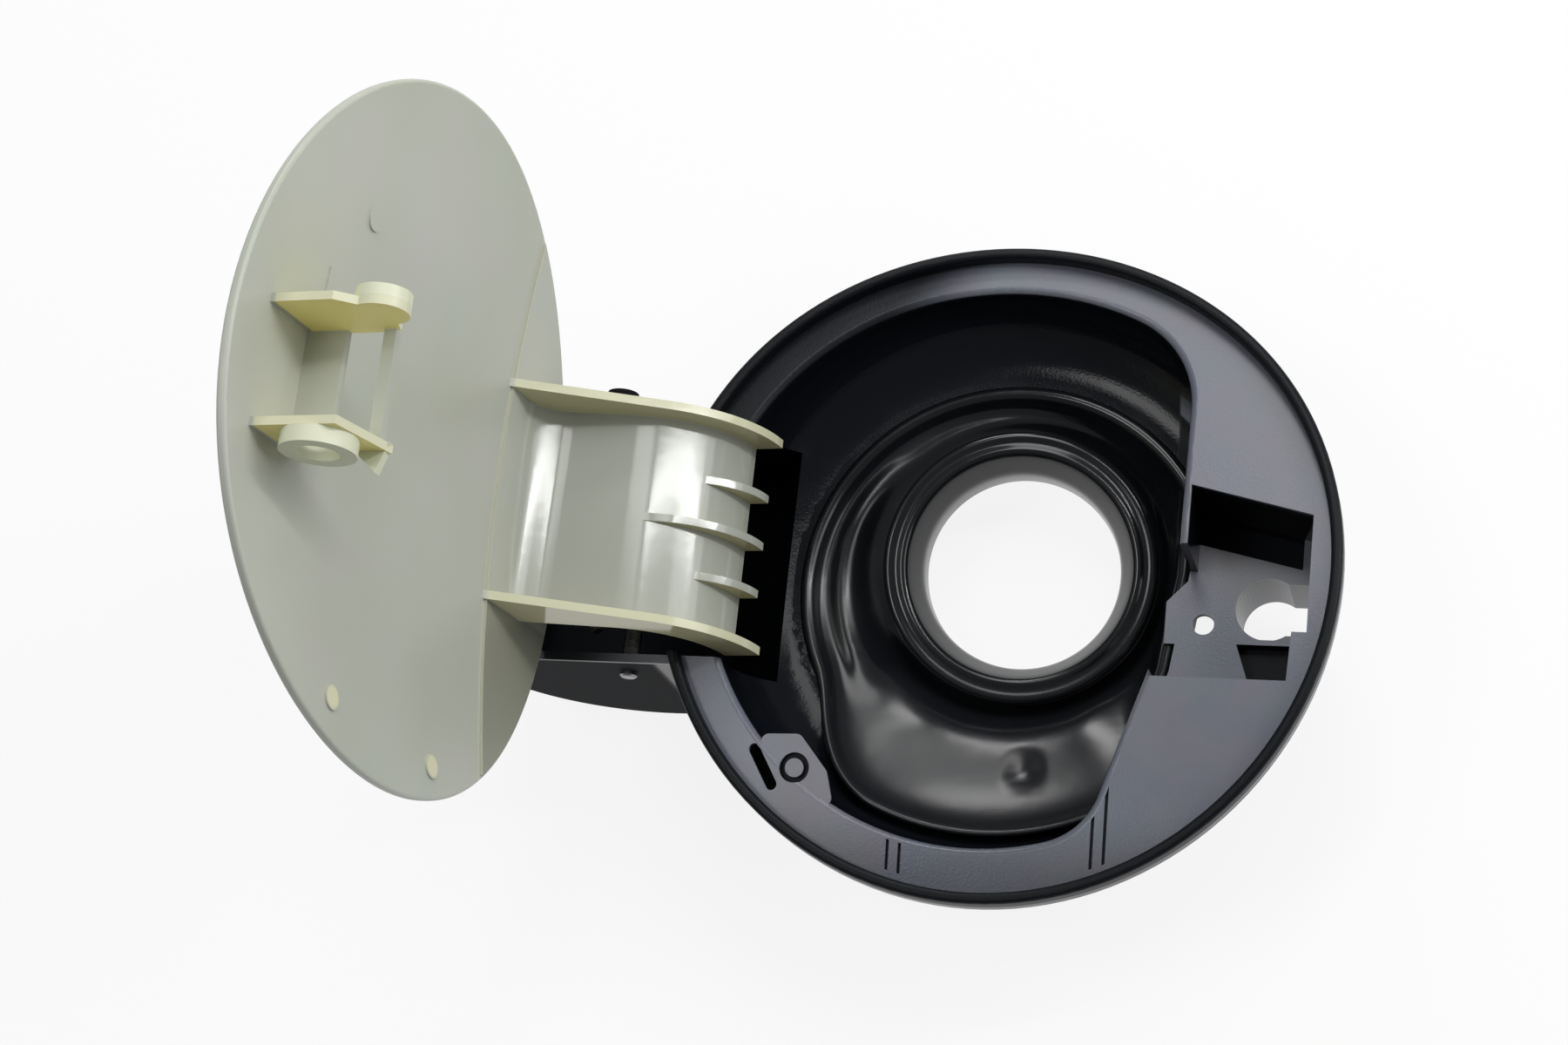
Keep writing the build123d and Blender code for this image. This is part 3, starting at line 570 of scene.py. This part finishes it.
def beyond_walls(made, along_y, walls):
    """1 on the outer sides of a lower and an upper wall, and 0 between them."""
    lower, upper = walls
    edge = THIN_WALL_HALF + SOFT_EDGE
    over = ramp(made, along_y, upper + THIN_WALL_HALF, upper + edge)
    under = ramp(made, along_y, lower - THIN_WALL_HALF, lower - edge)
    return either(made, over, under)


def disc_tone(made, place, cloud):
    """The flap's own colour, in soft patches of four tints."""
    tint = noise(made, place, scale=38.0, detail=2.0)
    tone = mix_colour(made, varied(made, cloud), FLAP_GREEN, FLAP_GREY)
    return tinted(made, tone, tint, FLAP_TINT_SHARE, FLAP_WARM, FLAP_COOL)


def with_step(made, tone, place, inside, opening):
    """The tone with the painted highlight along the step and, below the arm, painted shade on the hinge side.
    """
    shut_x = opening.to_3x3() @ Vector((1, 0, 0))
    step_place = (opening @ Vector((STEP_X, 0, 0))).dot(shut_x)
    past_step = vector_node(made, "DOT_PRODUCT", place, shut_x, "Value")
    past_step = math_node(made, "SUBTRACT", past_step, step_place)
    hinge_side = both(made, inside, ramp(made, past_step, STEP_EDGE, -STEP_EDGE))
    along_y = coordinates(made, place)["Y"]
    below_arm = ramp(made, along_y, ARM_WALLS_Y[0] + WIDE_EDGE, ARM_WALLS_Y[0] - WIDE_EDGE)
    # Painted shade on the hinge side of the step, below the arm
    tone = mix_colour(made, both(made, hinge_side, below_arm), tone, HINGE_SIDE_SHADE)
    # Painted highlight along the step's edge
    off_line = math_node(made, "ABSOLUTE", past_step)
    step_highlight = ramp(made, off_line, STEP_LINE_HALF + SOFT_EDGE, STEP_LINE_HALF, 0.0, STEP_LINE_SHARE)
    return mix_colour(made, both(made, inside, step_highlight), tone, STEP_HIGHLIGHT)


def with_marks(made, tone, place, inside, opening):
    """The tone with a painted highlight on the ejector marks of the inner face."""
    for x, y in PALE_MARKS:
        mark = opening @ (on_skin(x, y, -FLAP_LIFT / MM) * MM)
        off_mark = vector_node(made, "DISTANCE", place, mark, "Value")
        fade_start = PALE_MARK_RADIUS * MM + SOFT_EDGE
        fade_end = (PALE_MARK_RADIUS - PALE_MARK_FADE) * MM
        # Painted highlight over each ejector mark
        mark_highlight = ramp(made, off_mark, fade_start, fade_end)
        tone = mix_colour(made, both(made, inside, mark_highlight), tone, MARK_HIGHLIGHT)
    return tone


def flap_material():
    """Pale grey-green moulded plastic, creamier at thin walls, and glossier on the hinge arm."""
    made, shader, place = material("flap_plastic")
    opening = flap_opening()
    reach, away = skin_direction(made, place, opening @ SKIN_CENTRE, opening.to_3x3() @ SKIN_AXIS)
    off_disc = math_node(made, "SUBTRACT", SKIN_RADIUS + FLAP_LIFT, reach)
    along = coordinates(made, place)
    inside = ramp(made, off_disc, *INSIDE_OFF)
    stands = ramp(made, off_disc, *STANDS_OFF)
    on_arm = both(made, stands, ramp(made, along["Z"], ARM_TOP_Z + WIDE_EDGE, ARM_TOP_Z))
    on_bracket = math_node(made, "SUBTRACT", stands, on_arm)
    arm_walls = both(made, on_arm, near_walls(made, along["Y"], ARM_WALLS_Y))
    fins = both(made, on_bracket, near_walls(made, along["Y"], BRACKET_WALLS_Y))
    bosses = both(made, on_bracket, beyond_walls(made, along["Y"], BRACKET_WALLS_Y))
    side = ramp(made, math_node(made, "ABSOLUTE", facing(made, "Y")), *SIDEWAYS, 0.0, SIDE_SHARE)
    cloud = noise(made, place, scale=14.0, detail=2.0)
    tone = with_step(made, disc_tone(made, place, cloud), place, inside, opening)
    # Painted shade: the arm darker than the disc
    tone = mix_colour(made, on_arm, tone, ARM_SHADE_GREY)
    tone = mix_colour(made, both(made, either(made, arm_walls, fins), WALL_CREAM_SHARE), tone, WALL_CREAM)
    tone = with_marks(made, tone, place, inside, opening)
    # Sideways faces of the arm and fins: the plastic's own yellow, brightened with painted light where they
    # lie in shade
    tone = mix_colour(made, both(made, side, on_arm), tone, ARM_SIDE_YELLOW_AND_PAINTED_LIGHT)
    tone = mix_colour(made, both(made, side, fins), tone, FIN_YELLOW_AND_PAINTED_LIGHT)
    tone = mix_colour(made, bosses, tone, BOSS_CREAM)
    dull = mix_value(made, on_arm, varied(made, cloud, *FLAP_ROUGH), ARM_ROUGH)
    feed(made, shader, Base_Color=tone, Roughness=dull)
    fleck = noise(made, place, scale=240.0)
    bump(made, shader, fleck, strength=0.06, distance=0.3 * MM, normal=true_normal(made, away))
    return made


def steel_material(name, bright, dark):
    """Drawn steel with fine lines round it."""
    made, shader, place = material(name)
    stretched = add_node(made, "ShaderNodeMapping", {"Vector": place, "Scale": (1.0, 60.0, 1.0)}).outputs[0]
    lines = noise(made, stretched, scale=40.0, detail=4.0)
    dull = ramp(made, lines, *NOISE_RANGE, *STEEL_ROUGH)
    feed(made, shader, Base_Color=mix_colour(made, lines, dark, bright), Roughness=dull)
    shader.inputs["Metallic"].default_value = 1.0
    bump(made, shader, lines, strength=0.1, distance=0.1 * MM)
    return made


def dress(node, made, edge=0.0):
    """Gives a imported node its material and, where edge is a width, rounded edges."""
    obj = frame["nodes"][node]
    obj.data.materials.clear()
    obj.data.materials.append(made)
    if edge:
        weld = obj.modifiers.new("joined", "WELD")
        weld.merge_threshold = WELD_REACH
        round_edge = obj.modifiers.new("round_edge", "BEVEL")
        round_edge.width = edge
        round_edge.segments = 2
        round_edge.limit_method = "ANGLE"
        round_edge.angle_limit = EDGE_ANGLE
        round_edge.harden_normals = True
        even = obj.modifiers.new("even_normals", "WEIGHTED_NORMAL")
        even.weight = 100
        even.keep_sharp = True


def seat_reach(heading):
    """How far the bowl's seat reaches from its middle along a heading."""
    reach = SEAT_RADIUS
    for point_x, point_y, run in BOWL_SIDES:
        toward = math.cos(heading) - run * math.sin(heading)
        if toward > LEAST_FACING:
            reach = min(reach, (point_x - BOWL_X - run * (point_y - BOWL_Y)) / toward)
    return reach


def wall_reach(heading):
    """How far the bowl's upper wall reaches from its middle along a heading."""
    seat = seat_reach(heading)
    return seat if seat < SEAT_RADIUS - UPRIGHT_MARGIN else WALL_RADIUS


def smooth(value, low, high):
    """0 below low, 1 above high, smooth between."""
    share = min(1.0, max(0.0, (value - low) / (high - low)))
    return share * share * (3 - 2 * share)


def between_headings(heading, start, end):
    """1 between two stretches of heading, in degrees, and 0 away from them, smooth within each."""
    degrees = math.degrees(heading) % 360
    return smooth(degrees, *start) * (1 - smooth(degrees, *end))


def around_bowl(heading, reach, z):
    """A point at that reach from the bowl's middle."""
    return Vector((BOWL_X + reach * math.cos(heading), BOWL_Y + reach * math.sin(heading), z))


def around_neck(heading, radius, height):
    """A point about the neck's leaning axis."""
    right = Vector((1, 0, -NECK_AXIS.x / NECK_AXIS.z)).normalized()
    ahead = NECK_AXIS.cross(right)
    return NECK + radius * (math.cos(heading) * right + math.sin(heading) * ahead) + height * NECK_AXIS


def plain_rows(heading, seat, valley):
    """The boot's section from the rolled edge to the valley, away from the bulge."""
    fold = between_headings(heading, FOLD_START, FOLD_END)
    outer = around_bowl(heading, seat - OUTER_INSET, OUTER_Z)
    top = outer.lerp(valley, TOP_SHARE)
    middle = outer.lerp(valley, MIDDLE_SHARE) + Vector((0, 0, FOLD_RISE * fold))
    inner = outer.lerp(valley, INNER_SHARE) + Vector((0, 0, INNER_RISE - FOLD_DIP * fold))
    return [outer, top, middle, inner]


def bulge_rows(heading, seat, wall, valley):
    """The boot's section from the rolled edge to the valley, over the bulge on its lower side."""
    outer = around_bowl(heading, seat + BULGE_OUTER_SHARE * (wall - seat), BULGE_OUTER_Z)
    top = around_bowl(heading, seat - BULGE_TOP_INSET, BULGE_TOP_Z)
    inner = around_bowl(heading, seat - BULGE_INNER_INSET, BULGE_INNER_Z)
    shoulder = inner.lerp(valley, SHOULDER_SHARE)
    shoulder.z = inner.z - SHOULDER_DROP
    return [outer, top, inner, shoulder]


def boot_rings(heading):
    """The boot's section at a heading, from the band's foot over the bulge to the sleeve's end."""
    low = between_headings(heading, LOWER_START, LOWER_END)
    seat = seat_reach(heading)
    wall = wall_reach(heading)
    valley = around_neck(heading, VALLEY_RADIUS, VALLEY_HEIGHT)
    rings = [around_bowl(heading, seat, BAND_FOOT_Z), around_bowl(heading, seat, BAND_TOP_Z)]
    for inset, z, share, low_z in EDGE_ROWS:
        upright = around_bowl(heading, seat - inset, z)
        climbing = around_bowl(heading, seat + share * (wall - seat), low_z)
        rings.append(upright.lerp(climbing, low))
    for plain, bulge in zip(plain_rows(heading, seat, valley), bulge_rows(heading, seat, wall, valley)):
        rings.append(plain.lerp(bulge, low))
    rings.append(valley)
    rings.extend(around_neck(heading, radius, height) for radius, height in COLLAR)
    return rings


def lofted(name, columns, tube=False, caps=False):
    """A mesh round columns of points: tube joins each column's ends, caps close the first and last rows."""
    skin = bmesh.new()
    rows = [[skin.verts.new(point * MM) for point in column] for column in columns]
    for left, right in zip(rows, rows[1:] + rows[:1]):
        count = len(left)
        for row in range(count if tube else count - 1):
            above = (row + 1) % count
            skin.faces.new((left[row], right[row], right[above], left[above]))
    if caps:
        skin.faces.new([column[0] for column in rows])
        skin.faces.new([column[-1] for column in rows])
    bmesh.ops.recalc_face_normals(skin, faces=skin.faces)
    mesh = bpy.data.meshes.new(name)
    skin.to_mesh(mesh)
    skin.free()
    made = bpy.data.objects.new(name, mesh)
    bpy.context.scene.collection.objects.link(made)
    return made


def dimpled(mesh):
    """Presses the round dimple into the boot's lower side."""
    for vertex in mesh.vertices:
        share = (vertex.co / MM - DIMPLE).length / DIMPLE_RADIUS
        if share < 1:
            vertex.co.z -= DIMPLE_DEPTH * MM * (1 - share**2) ** 2


def headings(steps):
    """That many even headings round a circle."""
    return [2 * math.pi * step / steps for step in range(steps)]


def make_boot(made):
    """The soft filler boot as one folded skin with thickness."""
    cage = lofted("boot_cage", [boot_rings(heading) for heading in headings(RING_STEPS)])
    smoother = cage.modifiers.new("smooth", "SUBSURF")
    smoother.levels = SMOOTH_LEVELS
    mesh = bpy.data.meshes.new_from_object(cage.evaluated_get(bpy.context.evaluated_depsgraph_get()))
    bpy.data.objects.remove(cage)
    mesh.name = "boot_skin"
    dimpled(mesh)
    mesh.shade_smooth()
    mesh.materials.append(made)
    boot = bpy.data.objects.new("boot_skin", mesh)
    bpy.context.scene.collection.objects.link(boot)
    thick = boot.modifiers.new("thickness", "SOLIDIFY")
    thick.thickness = BOOT_WALL
    thick.offset = 0
    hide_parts("filler_boot")
    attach(boot, "base")


def around_slot(heading, grow, depth):
    """A point past the slot's outline by grow, at that depth under the skin."""
    run = math.copysign(SLOT_HALF_RUN, math.cos(heading)) + (SLOT_RADIUS + grow) * math.cos(heading)
    rise = (SLOT_RADIUS + grow) * math.sin(heading)
    x = SLOT_X + run * math.cos(SLOT_TURN) - rise * math.sin(SLOT_TURN)
    y = SLOT_Y + run * math.sin(SLOT_TURN) + rise * math.cos(SLOT_TURN)
    return on_skin(x, y, depth)


def slot_column(heading):
    """The section of the slot's pocket at a heading, from its inner floor over its rim to its outer floor."""
    return [around_slot(heading, grow, depth) for grow, depth in SLOT_SECTION]


def key_outline():
    """Points round the keyhole with the direction out of it at each."""
    corner = math.asin(KEY_SLOT_HALF / KEY_RADIUS)
    for step in range(KEY_STEPS + 1):
        heading = corner + (2 * math.pi - 2 * corner) * step / KEY_STEPS
        out = Vector((math.cos(heading), math.sin(heading), 0))
        yield Vector((KEY_X, KEY_Y, 0)) + KEY_RADIUS * out, out
    for side in (-1, 1):
        end = Vector((KEY_SLOT_END_X, KEY_Y + side * KEY_SLOT_HALF, 0))
        yield end, Vector((KEY_CORNER_LEAN, side, 0))


def key_column(point, out):
    """The section of the wall round the keyhole: inner and outer top, outer and inner foot."""
    outer = point + KEY_WALL * out
    top = Vector((0, 0, KEY_TOP_Z))
    foot = Vector((0, 0, KEY_FOOT_Z))
    return [point + top, outer + top, outer + foot, point + foot]


def make_moulded_walls(made):
    """Walls of the housing's moulding behind the slot and the keyhole."""
    pocket = lofted("slot_pocket", [slot_column(heading) for heading in headings(SLOT_STEPS)], caps=True)
    collar = lofted("keyhole_wall", [key_column(point, out) for point, out in key_outline()], tube=True)
    for wall in (pocket, collar):
        wall.data.materials.append(made)
        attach(wall, "base")


def make_floor(height):
    """A wide white floor that keeps the object's shadow."""
    made = bpy.data.materials.new("floor")
    made.use_nodes = True
    tree = made.node_tree
    tree.nodes.clear()
    ray = tree.nodes.new("ShaderNodeLightPath")
    seen = either(made, ray.outputs["Is Camera Ray"], ray.outputs["Is Glossy Ray"])
    seen = either(made, seen, ray.outputs["Is Transmission Ray"])
    paper = add_node(made, "ShaderNodeBsdfDiffuse", {"Color": FLOOR_GREY})
    white = add_node(made, "ShaderNodeEmission", {"Color": (1, 1, 1, 1), "Strength": 1.0})
    share = both(made, seen, FLOOR_WHITE_SHARE)
    mixed = add_node(made, "ShaderNodeMixShader", {0: share, 1: paper.outputs[0], 2: white.outputs[0]})
    out = tree.nodes.new("ShaderNodeOutputMaterial")
    tree.links.new(mixed.outputs[0], out.inputs[0])
    bpy.ops.mesh.primitive_circle_add(
        vertices=96, radius=FLOOR_RADIUS, fill_type="NGON", location=(0, 0, height)
    )
    floor = bpy.context.object
    floor.name = "floor"
    floor.data.materials.append(made)


def area_light(name, place, aim, size_x, size_y, radiance):
    """A soft box at place that faces aim, with the brightness its surface shows."""
    lamp = bpy.data.lights.new(name, "AREA")
    lamp.shape = "RECTANGLE"
    lamp.size = size_x
    lamp.size_y = size_y
    lamp.energy = math.pi * radiance * size_x * size_y
    holder = bpy.data.objects.new(name, lamp)
    holder.location = place
    holder.rotation_euler = (Vector(aim) - Vector(place)).to_track_quat("-Z", "Y").to_euler()
    bpy.context.scene.collection.objects.link(holder)


def make_light():
    """Soft studio light from above, a window on the right and a dim room."""
    for name, (place, aim, size_x, size_y, radiance) in LAMPS.items():
        area_light(name, place, aim, size_x, size_y, radiance)
    world = bpy.data.worlds.new("room")
    world.use_nodes = True
    world.node_tree.nodes["Background"].inputs["Color"].default_value = ROOM_GREY
    bpy.context.scene.world = world


def make_camera():
    """The camera at the photo's place and angle."""
    lens = bpy.data.cameras.new("camera")
    lens.sensor_width = CAMERA_SENSOR
    lens.lens = CAMERA_LENS
    holder = bpy.data.objects.new("camera", lens)
    back = CAMERA_RIGHT.cross(CAMERA_UP)
    turn = Matrix((CAMERA_RIGHT, CAMERA_UP, back)).transposed().to_4x4()
    holder.matrix_world = Matrix.Translation(CAMERA_PLACE) @ turn
    bpy.context.scene.collection.objects.link(holder)
    bpy.context.scene.camera = holder


housing_plastic = housing_material()
dress("housing", housing_plastic, HOUSING_EDGE)
make_moulded_walls(housing_plastic)
dress("fuel_flap", flap_material(), FLAP_EDGE)
dress("hinge_pin", steel_material("pin_steel", *PIN_TONES))
dress("hinge_spring", steel_material("spring_steel", *SPRING_TONES))
make_boot(boot_material())
make_floor(cad_low.z - FLOOR_GAP)
make_light()
make_camera()
bpy.context.scene.view_settings.view_transform = "Standard"
